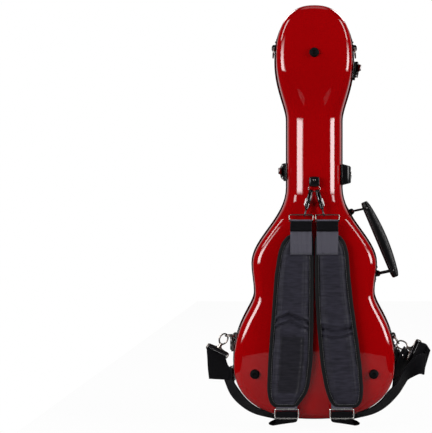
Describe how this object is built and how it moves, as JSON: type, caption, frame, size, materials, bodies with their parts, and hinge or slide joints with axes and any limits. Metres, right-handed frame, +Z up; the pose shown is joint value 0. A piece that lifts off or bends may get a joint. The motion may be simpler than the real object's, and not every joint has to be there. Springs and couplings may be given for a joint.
{
  "type": "violin case",
  "caption": "Hard shell instrument case, waisted body with a narrow neck and rounded head; hinged lid, draw latches, lock, side handle and backpack straps.",
  "frame": {"origin": "on the floor under the middle of the bounding box of the closed case with its straps", "axes": "+Z up from the feet to the head; +Y to the back, where the straps are; -Y to the lid; +X to the hinged side"},
  "size_m": [0.4094, 0.1442, 0.7597],
  "materials": {
    "red_lacquer": "high-gloss dark red lacquer",
    "black_rubber": "satin black rubber",
    "black_plastic": "satin black moulding",
    "black_nickel": "polished black nickel plate",
    "bright_nickel": "bright nickel plate",
    "black_leather": "black grained leather, stitched",
    "charcoal_nylon": "satin charcoal nylon over padding",
    "black_webbing": "black woven webbing",
    "black_plush": "black plush lining"
  },
  "bodies": {
    "case_base": {"anchor_ring": "black_nickel", "base_lining": "black_plush", "base_rim": "black_rubber", "base_shell": "red_lacquer", "handle_lower_lug": "black_nickel", "handle_upper_lug": "black_nickel", "head_bumper": "black_rubber", "head_latch_plate": "black_nickel", "head_left_lug": "black_nickel", "head_right_lug": "black_nickel", "left_bumper": "black_rubber", "left_foot": "black_rubber", "left_lower_hook": "black_nickel", "left_lower_webbing": "black_webbing", "left_pad": "charcoal_nylon", "left_slider": "bright_nickel", "left_upper_hook": "black_nickel", "left_upper_ring": "bright_nickel", "left_upper_webbing": "black_webbing", "lock_housing": "black_plastic", "lower_hinge_base_leaf": "black_nickel", "lower_latch_plate": "black_nickel", "lower_left_lug": "black_nickel", "lower_left_ring": "black_nickel", "lower_right_lug": "black_nickel", "lower_right_ring": "black_nickel", "neck_cradle": "black_plush", "neck_latch_plate": "black_nickel", "right_bumper": "black_rubber", "right_foot": "black_rubber", "right_lower_hook": "black_nickel", "right_lower_webbing": "black_webbing", "right_pad": "charcoal_nylon", "right_slider": "bright_nickel", "right_upper_hook": "black_nickel", "right_upper_ring": "bright_nickel", "right_upper_webbing": "black_webbing", "strap_anchor": "black_plastic", "upper_hinge_base_leaf": "black_nickel"},
    "lid": {"lid_shell": "red_lacquer", "lid_rim": "black_rubber", "lid_lining": "black_plush", "upper_hinge_lid_leaf": "black_nickel", "lower_hinge_lid_leaf": "black_nickel", "head_latch_keeper": "black_nickel", "lower_latch_keeper": "black_nickel", "neck_latch_keeper": "black_nickel", "lock_keeper": "black_plastic"},
    "head_lever": {"head_latch_lever": "black_nickel"},
    "head_claw": {"head_latch_claw": "black_nickel"},
    "lower_lever": {"lower_latch_lever": "black_nickel"},
    "lower_claw": {"lower_latch_claw": "black_nickel"},
    "neck_lever": {"neck_latch_lever": "black_nickel"},
    "neck_claw": {"neck_latch_claw": "black_nickel"},
    "lock_core": {"lock_cylinder": "bright_nickel"},
    "upper_bail": {"handle_upper_bail": "black_nickel"},
    "grip": {"handle_grip": "black_leather"},
    "lower_bail": {"handle_lower_bail": "black_nickel"},
    "head_left_d_ring": {"head_left_ring": "black_nickel"},
    "head_right_d_ring": {"head_right_ring": "black_nickel"}
  },
  "joints": [
    {"name": "lid_hinge", "type": "hinge", "parent": "case_base", "child": "lid", "pos_m": [0.1521, -0.02513, 0.115], "axis": [0, 0, 1], "range_deg": [0, 105]},
    {"name": "head_lever_lift", "type": "hinge", "parent": "case_base", "child": "head_lever", "pos_m": [-0.07638, -0.01053, 0.6454], "axis": [-0.0957, 0, 0.9954], "range_deg": [0, 95]},
    {"name": "head_claw_swing", "type": "hinge", "parent": "head_lever", "child": "head_claw", "pos_m": [-0.0786, -0.00176, 0.64519], "axis": [-0.0957, 0, 0.9954], "range_deg": [-95, 0]},
    {"name": "lower_lever_lift", "type": "hinge", "parent": "case_base", "child": "lower_lever", "pos_m": [-0.15229, -0.01053, 0.12464], "axis": [0.1028, 0, 0.9947], "range_deg": [0, 95]},
    {"name": "lower_claw_swing", "type": "hinge", "parent": "lower_lever", "child": "lower_claw", "pos_m": [-0.15451, -0.00176, 0.12487], "axis": [0.1028, 0, 0.9947], "range_deg": [-95, 0]},
    {"name": "neck_lever_lift", "type": "hinge", "parent": "case_base", "child": "neck_lever", "pos_m": [0.05655, -0.01053, 0.459], "axis": [0, 0, -1], "range_deg": [0, 95]},
    {"name": "neck_claw_swing", "type": "hinge", "parent": "neck_lever", "child": "neck_claw", "pos_m": [0.05879, -0.00176, 0.459], "axis": [0, 0, -1], "range_deg": [-95, 0]},
    {"name": "lock_turn", "type": "hinge", "parent": "case_base", "child": "lock_core", "pos_m": [-0.06633, 0.00244, 0.453], "axis": [-0.9979, 0.0649, 0], "range_deg": [0, 90]},
    {"name": "upper_bail_swing", "type": "hinge", "parent": "case_base", "child": "upper_bail", "pos_m": [-0.06856, 0.00082, 0.38643], "axis": [0, 1, 0], "range_deg": [-25, 30]},
    {"name": "grip_swing", "type": "hinge", "parent": "upper_bail", "child": "grip", "pos_m": [-0.09594, 0.00082, 0.39225], "axis": [0, 1, 0], "range_deg": [-30, 25]},
    {"name": "lower_bail_swing", "type": "hinge", "parent": "case_base", "child": "lower_bail", "pos_m": [-0.11632, 0.00082, 0.27362], "axis": [0, 1, 0], "range_deg": [-25, 30]},
    {"name": "head_left_ring_swing", "type": "hinge", "parent": "case_base", "child": "head_left_d_ring", "pos_m": [0.07307, 0.01811, 0.68019], "axis": [0.0647, -0.9979, 0.0042], "range_deg": [0, 95]},
    {"name": "head_right_ring_swing", "type": "hinge", "parent": "case_base", "child": "head_right_d_ring", "pos_m": [-0.07307, 0.01811, 0.68019], "axis": [0.0647, 0.9979, -0.0042], "range_deg": [0, 95]}
  ],
  "couplings": [
    {"joint": "head_claw_swing", "follows": "head_lever_lift", "ratio": -1},
    {"joint": "lower_claw_swing", "follows": "lower_lever_lift", "ratio": -1},
    {"joint": "neck_claw_swing", "follows": "neck_lever_lift", "ratio": -1},
    {"joint": "grip_swing", "follows": "upper_bail_swing", "ratio": -1},
    {"joint": "lower_bail_swing", "follows": "upper_bail_swing", "ratio": 1}
  ]
}
